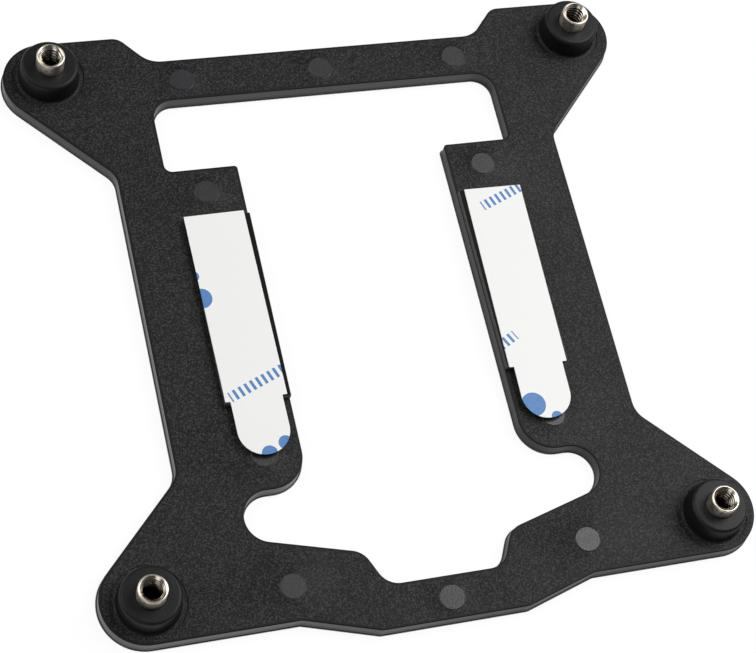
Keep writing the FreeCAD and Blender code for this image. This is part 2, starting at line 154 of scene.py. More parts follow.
def makePiece(name, patches, materials, node, sharpAngle=meshing["sharpAngle"],
              bend=None, softFinish=None):
    # patches are joined, welded where their points meet, bent, closed and put on the body;
    # edges inside the soft finish are never sharp
    points, faces, looks, first = [], [], [], 0
    for patchPoints, patchFaces, finish, smooth in patches:
        points.append(patchPoints)
        faces += (patchFaces + first).tolist()
        looks += [(finish, smooth)] * len(patchFaces)
        first += len(patchPoints)
    points = np.concatenate(points)
    grid = np.round(points / meshing["weld"]).astype(np.int64)
    key, back = np.unique(grid, axis=0, return_inverse=True)
    back = back.ravel()
    merged = np.zeros((len(key), 3))
    merged[back] = points
    # a face loses the corners that were welded, and goes with fewer than three
    kept = [(tuple(dict.fromkeys(back[face].tolist())), *look) for face, look in zip(faces, looks)]
    loops, finishes, smooths = zip(*(row for row in kept if len(row[0]) > 2))
    if bend:
        merged = bend(merged)
    mesh = bpy.data.meshes.new(name)
    mesh.from_pydata((merged * mm).tolist(), [], loops)
    for material in materials:
        mesh.materials.append(material)
    mesh.polygons.foreach_set("material_index", finishes)
    mesh.polygons.foreach_set("use_smooth", smooths)
    closeUp(mesh)
    mesh.set_sharp_from_angle(angle=math.radians(sharpAngle))
    if softFinish is not None:
        soften(mesh, softFinish)
    piece = bpy.data.objects.new(name, mesh)
    bpy.context.scene.collection.objects.link(piece)
    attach(piece, "root")
    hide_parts(node)
    print(name, len(mesh.vertices), "points", len(mesh.polygons), "faces")
    return piece


def closeUp(mesh):
    # merges points that rounding kept apart and turns the faces outwards; says where an edge
    # is left with other than two faces
    work = bmesh.new()
    work.from_mesh(mesh)
    bmesh.ops.remove_doubles(work, verts=work.verts, dist=meshing["gap"] * mm)
    bmesh.ops.recalc_face_normals(work, faces=work.faces)
    openEdges = sum(len(edge.link_faces) != 2 for edge in work.edges)
    if openEdges:
        print(mesh.name, "has", openEdges, "open edges")
    work.to_mesh(mesh)
    work.free()


def soften(mesh, finish):
    # clears the sharp mark of each edge whose faces all have the finish
    finishes = np.empty(len(mesh.polygons), int)
    mesh.polygons.foreach_get("material_index", finishes)
    cornerCounts = np.empty(len(mesh.polygons), int)
    mesh.polygons.foreach_get("loop_total", cornerCounts)
    edges = np.empty(len(mesh.loops), int)
    mesh.loops.foreach_get("edge_index", edges)
    others = np.bincount(edges, np.repeat(finishes != finish, cornerCounts), len(mesh.edges))
    sharp = np.empty(len(mesh.edges), bool)
    mesh.edges.foreach_get("use_edge_sharp", sharp)
    mesh.edges.foreach_set("use_edge_sharp", sharp & (others > 0))


# Outlines: straight runs, with arcs at the corners

def leftOf(direction):
    # a quarter turn to the left
    return np.array((-direction[1], direction[0]))


def roundedLoop(stops, arcStep=5.0, runStep=3.0):
    # stops are (x, y, radius); each corner becomes an arc tangent to both runs, and the runs
    # are divided evenly; gives the points and, at each, the unit normal on the left of travel
    place = np.array([stop[:2] for stop in stops], float)
    radius = np.array([stop[2] for stop in stops], float)
    ahead = np.roll(place, -1, 0) - place
    ahead /= np.hypot(*ahead.T)[:, None]
    behind = np.roll(ahead, 1, 0)
    cross = behind[:, 0] * ahead[:, 1] - behind[:, 1] * ahead[:, 0]
    turn = np.arctan2(cross, (behind * ahead).sum(1))
    reach = radius * np.tan(abs(turn) / 2)
    points, normals = [], []
    for i in range(len(stops)):
        j = (i + 1) % len(stops)
        side, start = math.copysign(1, turn[i]), place[i] - behind[i] * reach[i]
        centre = start + leftOf(behind[i]) * side * radius[i]
        steps = max(3, math.ceil(math.degrees(abs(turn[i])) / arcStep))
        normal = leftOf(behind[i])
        angle = math.atan2(normal[1], normal[0]) + np.linspace(0, turn[i], steps + 1)
        facing = np.stack((np.cos(angle), np.sin(angle)), 1)
        points.append(centre - side * radius[i] * facing)
        normals.append(facing)
        end, goal = points[-1][-1], place[j] - ahead[i] * reach[j]
        parts = max(1, math.ceil(np.hypot(*(goal - end)) / runStep))
        share = np.arange(1, parts)[:, None] / parts
        points.append(end + (goal - end) * share)
        normals.append(np.broadcast_to(leftOf(ahead[i]), (parts - 1, 2)))
    return np.concatenate(points), np.concatenate(normals)


def lobeStop(centreX, level, radius, through):
    # a lobe's corner: its level run meets the slanted run that comes from a point and just
    # touches the lobe's circle
    side = math.copysign(1, level - through[1])
    centre = np.array((centreX, level - side * radius))
    reach = centre - np.array(through[:2])
    angle = math.atan2(reach[1], reach[0]) - side * math.asin(radius / np.hypot(*reach))
    return (through[0] + (level - through[1]) / math.tan(angle), level, radius)


def mirrored(stops):
    # the right half's stops, then the same on the left, in one round
    return stops + [(-x, y, radius) for x, y, radius in reversed(stops)]


def carried(points, normals, profile, finish=0):
    # a profile of (outward, height) carried along a closed outline
    profile = np.array(profile, float)
    place = points[None] + normals[None] * profile[:, :1, None]
    height = np.broadcast_to(profile[:, 1:, None], place.shape[:2] + (1,))
    return surface(np.concatenate((place, height), 2), finish)


# Materials

noiseRange = (0.3, 0.7)  # nearly all of a noise's values lie between these


def linear(code):
    # an sRGB hex colour as linear red, green and blue
    share = np.array([int(code[i:i + 2], 16) / 255 for i in (1, 3, 5)])
    return (*np.where(share <= 0.04045, share / 12.92, ((share + 0.055) / 1.055) ** 2.4), 1.0)


def addNode(tree, kind, inputs=None, **settings):
    # a node with its settings; an input is a value or another node's socket
    node = tree.nodes.new("ShaderNode" + kind)
    for key, value in settings.items():
        setattr(node, key, value)
    for key, value in (inputs or {}).items():
        if isinstance(value, bpy.types.NodeSocket):
            tree.links.new(value, node.inputs[key])
        else:
            node.inputs[key].default_value = value
    return node


def newMaterial(name):
    # an empty material, its nodes, and the place on the piece in metres
    material = bpy.data.materials.new(name)
    material.use_nodes = True
    tree = material.node_tree
    tree.nodes.clear()
    return material, tree, addNode(tree, "TexCoord").outputs["Object"]


def grained(tree, place, size, depth, strength=1.0, **texture):
    # a noise whose features measure so many millimetres, and the bump that it makes
    noise = addNode(tree, "TexNoise", {
        "Vector": place, "Scale": 1 / (size * mm), **texture,
    }).outputs["Fac"]
    bump = addNode(tree, "Bump", {
        "Height": noise, "Strength": strength, "Distance": depth * mm,
    }).outputs["Normal"]
    return noise, bump


def clouded(tree, place, size, ends, **texture):
    # a value that drifts from one end to the other, in patches of so many millimetres
    noise = addNode(tree, "TexNoise", {
        "Vector": place, "Scale": 1 / (size * mm), **texture,
    }).outputs["Fac"]
    return addNode(tree, "MapRange", {
        "Value": noise, "From Min": noiseRange[0], "From Max": noiseRange[1],
        "To Min": ends[0], "To Max": ends[1],
    }).outputs[0]


def fromAxis(tree, place):
    # the height, and the distance from the nearest sleeve's axis: the place is folded onto
    # one quarter, made level and measured from that quarter's axis
    height = addNode(tree, "SeparateXYZ", {"Vector": place}).outputs["Z"]
    folded = addNode(tree, "VectorMath", {0: place}, operation="ABSOLUTE").outputs[0]
    level = addNode(tree, "VectorMath", {0: folded, 1: (1, 1, 0)}, operation="MULTIPLY")
    away = addNode(tree, "VectorMath", {
        0: level.outputs[0], 1: sleeveAxis,
    }, operation="DISTANCE").outputs["Value"]
    return height, away


plastic = {
    "colour": "#020202", "fleck": "#424243", "fleckRange": (0.46, 0.7),
    "grain": 0.24, "grainDepth": 0.06, "cloud": 6.0, "roughness": (0.53, 0.59), "gloss": 0.28,
    "discColour": "#27272a", "rub": 1.1, "discRoughness": (0.25, 0.35), "discRelief": 0.3,
    "groundGrain": 0.4,
    # ground finishes: material's name, colour, roughness, IOR, gloss, depth of the grain
    "wall": ("polished black ABS", "#101011", 0.25, 1.56, 0.5, 0.012),
    # the edge's darker colour is painted shade along the plate's rounded top edge
    "edge": ("black ABS at the edge, darkened as painted shade", "#0d0d0e", 0.5, 1.5, 0.25, 0.03),
    "boss": ("fine-ground black ABS of the bosses", "#17181a", 0.42, 1.5, 0.23, 0.03),
}


def sparkErodedPlastic():
    # Black PC/ABS moulded against a spark-eroded steel face: satin, neutral black, with an
    # even fine grain that scatters small lights. The real grain is about 0.05 mm; it is drawn
    # at 0.24 mm, because finer doesn't show in the render.
    material, tree, place = newMaterial("spark-eroded black ABS")
    grain, relief = grained(tree, place, plastic["grain"], plastic["grainDepth"],
                            Detail=2.0, Roughness=0.7)
    flecked = addNode(tree, "MapRange", {
        "Value": grain, "From Min": plastic["fleckRange"][0], "From Max": plastic["fleckRange"][1],
    }).outputs[0]
    tone = addNode(tree, "Mix", {
        "Factor": flecked, "A": linear(plastic["colour"]), "B": linear(plastic["fleck"]),
    }, data_type="RGBA").outputs["Result"]
    sheen = clouded(tree, place, plastic["cloud"], plastic["roughness"], Detail=3.0)
    shader = addNode(tree, "BsdfPrincipled", {
        "Base Color": tone, "Roughness": sheen, "Normal": relief,
        "IOR": 1.5, "Specular IOR Level": plastic["gloss"],
    }).outputs[0]
    addNode(tree, "OutputMaterial", {"Surface": shader})
    return material


def groundPlastic(finish):
    # The same black ABS against ground steel. On walls and rims the steel is polished, which
    # gives soft reflections of what is beside them. Along the plate's rounded top edge the
    # grain runs out, and the bosses come from inserts of their own: both are fine-ground,
    # even, and duller than the walls. The edge's colour is also darker: painted shade that
    # draws a dark line along it.
    name, colour, roughness, ior, gloss, depth = plastic[finish]
    material, tree, place = newMaterial(name)
    relief = grained(tree, place, plastic["groundGrain"], depth, Detail=3.0)[1]
    shader = addNode(tree, "BsdfPrincipled", {
        "Base Color": linear(colour), "Roughness": roughness, "Normal": relief,
        "IOR": ior, "Specular IOR Level": gloss,
    }).outputs[0]
    addNode(tree, "OutputMaterial", {"Surface": shader})
    return material


def discPlastic():
    # The same black ABS against the ground ends of the ejector pins: smoother than the grain
    # round it, so each disc shows lighter where it mirrors the soft light.
    material, tree, place = newMaterial("ejector-pressed black ABS")
    relief = grained(tree, place, plastic["grain"], plastic["grainDepth"],
                     plastic["discRelief"], Detail=1.0)[1]
    sheen = clouded(tree, place, plastic["rub"], plastic["discRoughness"],
                    Detail=4.0, Roughness=0.65)
    shader = addNode(tree, "BsdfPrincipled", {
        "Base Color": linear(plastic["discColour"]), "Roughness": sheen, "Normal": relief,
        "IOR": 1.5,
    }).outputs[0]
    addNode(tree, "OutputMaterial", {"Surface": shader})
    return material


nickel = {
    # the bore's colour, the painted shade's colour with the heights where it starts and is full,
    # the radii where the painted shade in the thread's roots starts and is full, and the height
    # below which the bore's colours apply
    "colour": "#ebe2d4", "bore": "#cfc7ba", "depthShade": "#15100c", "depthShadeStart": 6.9, "depthShadeEnd": 4.0,
    "crest": 1.31, "root": 1.41, "shadedBelow": 6.95,
    "toolMark": 0.5, "markDepth": 0.012, "turnedRoughness": (0.26, 0.38), "anisotropic": 0.65,
    "stain": 0.6, "stainDepth": 0.004, "boreRoughness": (0.13, 0.25),
}


def turnedNickel():
    # Bright nickel over turned steel: a warm, pale yellowish metal. The tool's fine rings
    # spread its reflections up and down. They are about 0.05 mm wide in truth and 0.5 mm
    # here, because finer ones don't show.
    material, tree, place = newMaterial("bright nickel on turned steel")
    # the rings follow the height plus the distance from the axis, so they lie on the wall and
    # on the rim's top alike
    height, away = fromAxis(tree, place)
    along = addNode(tree, "Math", {0: height, 1: away}, operation="ADD").outputs[0]
    rings = addNode(tree, "TexNoise", {
        "W": along, "Scale": 1 / (nickel["toolMark"] * mm), "Detail": 0.0,
    }, noise_dimensions="1D").outputs["Fac"]
    relief = addNode(tree, "Bump", {
        "Height": rings, "Strength": 1.0, "Distance": nickel["markDepth"] * mm,
    }).outputs["Normal"]
    sheen = clouded(tree, place, nickel["stain"], nickel["turnedRoughness"], Detail=3.0)
    upright = addNode(tree, "CombineXYZ", {"Z": 1.0}).outputs[0]
    shader = addNode(tree, "BsdfPrincipled", {
        "Base Color": linear(nickel["colour"]), "Metallic": 1.0, "Roughness": sheen,
        "Normal": relief, "Anisotropic": nickel["anisotropic"], "Tangent": upright,
    }).outputs[0]
    addNode(tree, "OutputMaterial", {"Surface": shader})
    return material


def boreNickel():
    # The same plating in the tapped bore, a little greyer than outside, bright only at the mouth;
    # below it, shade is painted into the colour: dark in the thread's roots and darker with depth.
    material, tree, place = newMaterial("nickel in a tapped bore with painted shade")
    height, away = fromAxis(tree, place)
    # painted shade: darker with depth down the bore, and darker in the thread's roots
    depthShade, rootShade = (addNode(tree, "MapRange", {
        "Value": value, "From Min": nickel[start] * mm, "From Max": nickel[end] * mm,
    }).outputs[0] for value, start, end in (
        (height, "depthShadeStart", "depthShadeEnd"), (away, "crest", "root")))
    paintedShade = addNode(tree, "Math", {0: depthShade, 1: rootShade}, operation="MAXIMUM").outputs[0]
    tapped = addNode(tree, "Mix", {
        "Factor": paintedShade, "A": linear(nickel["bore"]), "B": linear(nickel["depthShade"]),
    }, data_type="RGBA").outputs["Result"]
    below = addNode(tree, "Math", {
        0: height, 1: nickel["shadedBelow"] * mm,
    }, operation="LESS_THAN").outputs[0]
    tone = addNode(tree, "Mix", {
        "Factor": below, "A": linear(nickel["colour"]), "B": tapped,
    }, data_type="RGBA").outputs["Result"]
    relief = grained(tree, place, nickel["stain"], nickel["stainDepth"], Detail=3.0)[1]
    sheen = clouded(tree, place, nickel["stain"], nickel["boreRoughness"], Detail=3.0)
    shader = addNode(tree, "BsdfPrincipled", {
        "Base Color": tone, "Metallic": 1.0, "Roughness": sheen, "Normal": relief,
    }).outputs[0]
    addNode(tree, "OutputMaterial", {"Surface": shader})
    return material


foam = {
    "colour": "#3a3838", "edge": "#625e5e", "cell": 0.22, "cellDepth": 0.04, "cellRelief": 0.8,
    "film": "#0d0d0e", "swell": 0.5, "filmRelief": 0.5, "filmRoughness": 0.6, "filmGloss": 0.15,
}


def closedCellFoam():
    # Black closed-cell polyethylene foam, die cut: matt, and greyer than its skin, because
    # burst cells on the cut side, about 0.2 mm wide, catch the light.
    material, tree, place = newMaterial("die-cut black foam")
    cells = addNode(tree, "TexVoronoi", {
        "Vector": place, "Scale": 1 / (foam["cell"] * mm),
    }).outputs["Distance"]
    tone = addNode(tree, "Mix", {
        "Factor": cells, "A": linear(foam["colour"]), "B": linear(foam["edge"]),
    }, data_type="RGBA").outputs["Result"]
    relief = addNode(tree, "Bump", {
        "Height": cells, "Strength": foam["cellRelief"], "Distance": foam["cellDepth"] * mm,
    }).outputs["Normal"]
    shader = addNode(tree, "BsdfPrincipled", {
        "Base Color": tone, "Roughness": 0.9, "Normal": relief, "IOR": 1.45,
    }).outputs[0]
    addNode(tree, "OutputMaterial", {"Surface": shader})
    return material


def adhesiveFilm():
    # The acrylic adhesive on the foam's flat faces: a black film, dull and a little uneven.
    material, tree, place = newMaterial("black acrylic adhesive")
    relief = grained(tree, place, foam["swell"], foam["cellDepth"], foam["filmRelief"],
                     Detail=2.0)[1]
    shader = addNode(tree, "BsdfPrincipled", {
        "Base Color": linear(foam["film"]), "Roughness": foam["filmRoughness"],
        "Normal": relief, "IOR": 1.47, "Specular IOR Level": foam["filmGloss"],
    }).outputs[0]
    addNode(tree, "OutputMaterial", {"Surface": shader})
    return material


paper = {
    "colour": "#fafaf9", "fibre": 0.35, "fibreDepth": 0.004, "fibreRelief": 0.3,
    "roughness": 0.42, "ink": "#3d74b4", "inkPale": "#6b99d0", "mottle": 0.25,
    "barPitch": 0.92, "barWidth": 0.42, "barHeight": 1.5,
    # bars stand in slanted rows (x, y to x, y), and dots lie between them (x, y, radius)
    "left": {
        "rows": [(-23.5, -13.2, -15.6, -10.0)],
        "dots": [(-24.5, 1.7, 1.5), (-24.9, 5.1, 0.75), (-19.8, -21.7, 1.1), (-17.4, -20.5, 1.0)],
    },
    "right": {
        "rows": [(18.2, 11.0, 24.6, 13.5), (15.4, -10.7, 17.8, -9.4)],
        "dots": [(17.7, -20.0, 1.75), (20.6, -22.2, 0.8)],
    },
}


def linerPaper(side):
    # Siliconised glassine paper: smooth, white and slightly satin, with a few plain blue bars
    # and dots that the cut edges run through.
    material, tree, place = newMaterial(f"siliconised liner paper {side}")
    level = addNode(tree, "Mapping", {"Vector": place, "Scale": (1 / mm, 1 / mm, 0)}).outputs[0]
    marks = []
    for x, y, radius in paper[side]["dots"]:
        distance = addNode(tree, "VectorMath", {
            0: level, 1: (x, y, 0),
        }, operation="DISTANCE").outputs["Value"]
        marks.append(addNode(tree, "Math", {0: distance, 1: radius}, operation="LESS_THAN"))
    for x, y, endX, endY in paper[side]["rows"]:
        # how far along the row and aside of it, then: inside the row, inside its length, and
        # near the middle of a bar
        length = math.hypot(endX - x, endY - y)
        runX, runY = (endX - x) / length, (endY - y) / length
        start = addNode(tree, "VectorMath", {0: level, 1: (x, y, 0)}, operation="SUBTRACT")
        far, aside = (addNode(tree, "VectorMath", {
            0: start.outputs[0], 1: direction,
        }, operation="DOT_PRODUCT").outputs["Value"] for direction in (
            (runX, runY, 0), (-runY, runX, 0)))
        inRow, inLength = (addNode(tree, "Math", {
            0: value, 1: middle, 2: reach,
        }, operation="COMPARE").outputs[0] for value, middle, reach in (
            (aside, 0.0, paper["barHeight"] / 2), (far, length / 2, length / 2)))
        fromBar = addNode(tree, "Math", {0: far, 1: paper["barPitch"] / 2}, operation="PINGPONG")
        inBar = addNode(tree, "Math", {
            0: fromBar.outputs[0], 1: paper["barWidth"] / 2,
        }, operation="LESS_THAN").outputs[0]
        printed = addNode(tree, "Math", {0: inRow, 1: inLength}, operation="MULTIPLY").outputs[0]
        marks.append(addNode(tree, "Math", {0: printed, 1: inBar}, operation="MULTIPLY"))
    printed = 0.0
    for mark in marks:
        printed = addNode(tree, "Math", {
            0: printed, 1: mark.outputs[0],
        }, operation="MAXIMUM").outputs[0]
    mottle = addNode(tree, "TexNoise", {
        "Vector": place, "Scale": 1 / (paper["mottle"] * mm), "Detail": 2.0,
    }).outputs["Fac"]
    ink = addNode(tree, "Mix", {
        "Factor": mottle, "A": linear(paper["ink"]), "B": linear(paper["inkPale"]),
    }, data_type="RGBA").outputs["Result"]
    tone = addNode(tree, "Mix", {
        "Factor": printed, "A": linear(paper["colour"]), "B": ink,
    }, data_type="RGBA").outputs["Result"]
    relief = grained(tree, place, paper["fibre"], paper["fibreDepth"],
                     paper["fibreRelief"], Detail=4.0)[1]
    shader = addNode(tree, "BsdfPrincipled", {
        "Base Color": tone, "Roughness": paper["roughness"], "Normal": relief, "IOR": 1.45,
    }).outputs[0]
    addNode(tree, "OutputMaterial", {"Surface": shader})
    return material


# Moulding

moulding = {
    "plateThickness": 2.0, "edgeRound": 0.15, "footRound": 0.03, "edgeInset": 0.35,
    "lobeMargin": 5.5, "lobeRadius": 6.0, "upperLobeShift": 0.4, "lowerLobeShift": 0.25,
    "railDrop": 4.4, "railWidth": 6.53, "recessHalf": 24.45, "recessSlope": 3.85,
    "recessInnerRadius": 3.9, "recessOuterRadius": 2.3,
    "windowHalf": 25.5, "windowBottom": 22.1, "windowTopRadius": 3.0, "windowBottomRadius": 1.1,
    "channelHalf": 15.3, "armWidth": 17.03, "armHeadRadius": 0.5, "armToe": 26.35,
    "armToeRadius": 4.7, "hookReach": 5.9, "hookRadius": 3.6,
    "waistTop": 22.4, "waistTopRadius": 3.35, "waistBottom": 22.8, "waistBottomRadius": 3.6,
    "tongueRootHalf": 20.15, "tongueHalf": 10.1, "tongueDrop": 3.05, "tongueRadius": 1.0,
    "barWidth": 5.9, "notchHalf": 8.05, "notchSlope": 2.25, "notchDepth": 4.95,
    "notchRadius": 3.0,
    "bossFoot": 4.1, "bossTop": 4.0, "bossHeight": 3.2, "rimRound": 0.52, "rimDraft": 2,
    "footFlare": 0.5, "flareGap": 0.1, "insertReach": 0.85, "insertDepth": 0.12,
    "insertEdge": 0.03, "bore": 1.97, "boreEdge": 0.12,
    "pocketFlats": 6.04, "pocketDepth": 1.5, "pocketEdge": 0.06,
    "markRadius": 1.72, "markHeight": 0.08, "markShoulder": 0.3, "markEdge": 0.05,
    "markReach": 5.1, "markAround": 48,
    # rows of ejector marks: how far up, and in which of the three columns
    "markRows": ((36.75, (-1, 0, 1)), (18.4, (-1, 1)), (-21.45, (-1, 1)), (-39.85, (-1, 1)),
                 (-44.7, (0,))),
}
grainedFace, smoothWall, pressedDisc, shadedEdge, bossFace = range(5)  # its finishes


def outlineLoops(m, halfPitch):
    # the moulding's outer and inner outline, each in one round with the solid on its right
    lobeEdge = halfPitch + m["lobeMargin"]
    railTop = lobeEdge - m["railDrop"]
    windowTop = railTop - m["railWidth"]
    tongueEdge = -(lobeEdge + m["tongueDrop"])
    notchBottom = tongueEdge + m["barWidth"]
    notchMouth = notchBottom + m["notchDepth"]
    waist = m["channelHalf"] + m["armWidth"]
    waistTop = (waist, m["waistTop"], m["waistTopRadius"])
    waistBottom = (waist, -m["waistBottom"], m["waistBottomRadius"])
    outer = [
        (m["recessHalf"], railTop, m["recessInnerRadius"]),
        (m["recessHalf"] + m["recessSlope"], lobeEdge, m["recessOuterRadius"]),
        lobeStop(halfPitch + m["upperLobeShift"], lobeEdge, m["lobeRadius"], waistTop),
        waistTop,
        waistBottom,
        lobeStop(halfPitch + m["lowerLobeShift"], -lobeEdge, m["lobeRadius"], waistBottom),
        (m["tongueRootHalf"], -lobeEdge, m["tongueRadius"]),
        (m["tongueHalf"], tongueEdge, m["tongueRadius"]),
    ]
    notchTop = (m["notchHalf"] + m["notchSlope"], notchMouth, m["notchRadius"])
    inner = [
        (m["notchHalf"], notchBottom, m["notchRadius"]),
        notchTop,
        lobeStop(m["channelHalf"] + m["hookReach"], -m["armToe"], m["hookRadius"], notchTop),
        (m["channelHalf"], -m["armToe"], m["armToeRadius"]),
        (m["channelHalf"], m["windowBottom"], m["armHeadRadius"]),
        (m["windowHalf"], m["windowBottom"], m["windowBottomRadius"]),
        (m["windowHalf"], windowTop, m["windowTopRadius"]),
    ]
    return roundedLoop(mirrored(outer)), roundedLoop(mirrored(inner))


def makeMoulding(materials):
    # profiles carried along both outlines and spun round the sleeves and marks, with level
    # faces between them
    m = moulding
    thick, inset = m["plateThickness"], m["edgeInset"]
    loops = outlineLoops(m, sleeveCentres["upper_right"][0])
    # the plate's edge: a small round below and an upright wall, then a round above
    foot, shoulder = m["footRound"], m["edgeRound"]
    wall = [(-inset, 0.0), *arc((-foot, foot), foot, -90, 0, steps=4)]
    wall += [(0.0, thick / 2), (0.0, thick - shoulder)]
    rounded = [*arc((-shoulder, thick - shoulder), shoulder, 0, 90, steps=6), (-inset, thick)]
    patches = [carried(*loop, wall, smoothWall) for loop in loops]
    patches += [carried(*loop, rounded, shadedEdge) for loop in loops]
    topRings = [points - normals * inset for points, normals in loops]
    bottomRings = list(topRings)

    # the boss, from its sunk ring inwards: a hollow flare at its foot, drafted wall, rounded
    # rim, level top and the sleeve's bore
    top, floor = thick + m["bossHeight"], thick - m["insertDepth"]
    flare, rim, bore = m["footFlare"], m["rimRound"], m["bore"]
    ring, flareCentre = m["bossFoot"] + m["insertReach"], (m["bossFoot"] + flare, floor + flare)
    sunk = [(ring + m["insertEdge"], thick), (ring, thick - m["insertEdge"]), (ring, floor)]
    sunk += [(flareCentre[0] + m["flareGap"], floor), *arc(flareCentre, flare, 270, 225, steps=3)]
    boss = arc(flareCentre, flare, 225, 180, steps=3)
    boss += arc((m["bossTop"] - rim, top - rim), rim, m["rimDraft"], 90, steps=8)
    boss += [(bore + m["boreEdge"], top), (bore, top - m["boreEdge"]), (bore, m["pocketDepth"])]
    # the head's pocket below: level roof, six upright walls and a small broken edge
    inside = m["pocketFlats"] / 2 * hexReach()
    outside = (m["pocketFlats"] / 2 + m["pocketEdge"]) * hexReach()
    pocket = [(bore, m["pocketDepth"]), (inside, m["pocketDepth"]), (inside, m["pocketEdge"])]
    pocket += [(outside, 0.0)]
    for centre in sleeveCentres.values():
        patches += [spun(sunk, centre), spun(boss, centre, finish=bossFace)]
        patches.append(spun(pocket, centre, finish=smoothWall))
        topRings.append(circle(centre, sunk[0][0]))
        bottomRings.append(circle(centre, outside))

    # ejector marks: discs with a small broken edge, in two columns past the arms' inner edges
    # and one between them
    radius, edge, count = m["markRadius"], m["markEdge"], m["markAround"]
    rise = thick + m["markHeight"]
    side = [(radius + edge, thick), (radius, thick + m["markShoulder"] * m["markHeight"])]
    side += [(radius - edge, rise)]
    for row, columns in m["markRows"]:
        for column in columns:
            centre = (column * (m["channelHalf"] + m["markReach"]), row)
            patches.append(spun(side, centre, count, pressedDisc))
            patches.append(levelFill([circle(centre, radius - edge, count)], rise, pressedDisc))
            topRings.append(circle(centre, radius + edge, count))
    patches.append(levelFill(topRings, thick, grainedFace))
    patches.append(levelFill(bottomRings, 0.0, grainedFace))
    makePiece("moulded_frame", patches, materials, "frame")


# Threaded sleeves

sleeve = {
    "bottom": 0.1, "top": 7.5, "radius": 1.95, "edge": 0.2, "sharpAngle": 50,
    "ringPitch": 0.2, "ringDepth": 0.002, "ringReach": 2.3, "rowsPerRing": 6,
    "headFlats": 6.0, "headTop": 1.5, "headEdge": 0.15,
    "threadMajor": 1.5, "threadMinor": 1.25, "pitch": 0.65, "rowsPerPitch": 16,
    "crestShare": 0.25, "rootShare": 0.125,
    "turn": {"upper_left": 0.4, "upper_right": 1.9, "lower_left": 3.1, "lower_right": 4.6},
    "mouth": 1.7, "mouthSlope": 1.25, "mouthRing": 0.12, "mouthRingDepth": 0.025,
    "lipWidth": 0.03, "lipDrop": 0.02, "lipClear": 0.025,
}
turnedOutside, tappedBore = range(2)  # its finishes


def makeSleeve(corner, materials):
    s, centre = sleeve, sleeveCentres[corner]
    top, bottom, radius = s["top"], s["bottom"], s["radius"]
    lip, head, angle = s["mouth"] + s["lipWidth"], s["headFlats"] / 2, around(meshing["around"])

    # outside, from the mouth's lip over the rounded rim and down past the boss, where the
    # tool's grooves are a cosine of the height (0.2 mm apart, because the real ones, about
    # 0.05 mm, don't show); then plain to the head and its underside
    rimFoot, step = top - s["edge"], s["ringPitch"] / s["rowsPerRing"]
    fall = np.arange(step, s["ringReach"], step)
    grooved = radius - s["ringDepth"] / 2 * (1 - np.cos(2 * np.pi * fall / s["ringPitch"]))
    outside = [
        (lip, top), *arc((radius - s["edge"], rimFoot), s["edge"], 90, 0, steps=6),
        *zip(grooved, rimFoot - fall), (radius, s["headTop"]),
        (head * hexReach(), s["headTop"]), (head * hexReach(), bottom + s["headEdge"]),
        ((head - s["headEdge"]) * hexReach(), bottom), (s["threadMajor"], bottom),
    ]

    # thread: in each pitch the radius has a level crest, a sloping flank, a level root and a
    # flank back, and the phase turns with the angle; the grooved countersink cuts it off. The
    # real M3 pitch is 0.5 mm; it is drawn at 0.65 mm, because a finer one doesn't show
    rows = round((top - bottom) / s["pitch"] * s["rowsPerPitch"])
    height = np.linspace(bottom, top, rows + 1)[1:-1]
    height = height[height < top - s["lipClear"]][:, None]
    phase = np.mod(height / s["pitch"] - (angle + s["turn"][corner]) / (2 * np.pi), 1.0)
    fromCrest = abs(2 * phase - 1) - s["crestShare"]
    share = np.clip(fromCrest / (1 - s["crestShare"] - s["rootShare"]), 0, 1)
    thread = s["threadMinor"] + (s["threadMajor"] - s["threadMinor"]) * share
    sunk = top - height
    groove = s["mouthRingDepth"] / 2 * (1 - np.cos(2 * np.pi * sunk / s["mouthRing"]))
    thread = np.maximum(thread, s["mouth"] - s["mouthSlope"] * sunk + groove)
    bore = [(s["threadMajor"], bottom), *zip(thread, height)]
    bore += [(s["mouth"], top - s["lipDrop"]), (lip, top)]
    patches = [spun(outside, centre, finish=turnedOutside), spun(bore, centre, finish=tappedBore)]
    makePiece(f"turned_sleeve_{corner}", patches, materials, f"threaded_sleeve_{corner}",
              s["sharpAngle"], softFinish=tappedBore)


# Foam pads

pad = {
    "cornerRadius": 0.15, "arcStep": 15, "runStep": 0.35, "levels": 9, "lattice": 0.8,
    "edge": 0.03, "edgeFrom": 0.375, "bulge": 0.07, "inset": 0.06,
    "unevenness": 0.02, "waves": (5.1, 2.3, 0.9), "waveClimb": 4, "waveReach": 0.49,
    "shift": {"left": 0.12, "right": 0.0},
}
cutSide, filmFace = range(2)  # its finishes


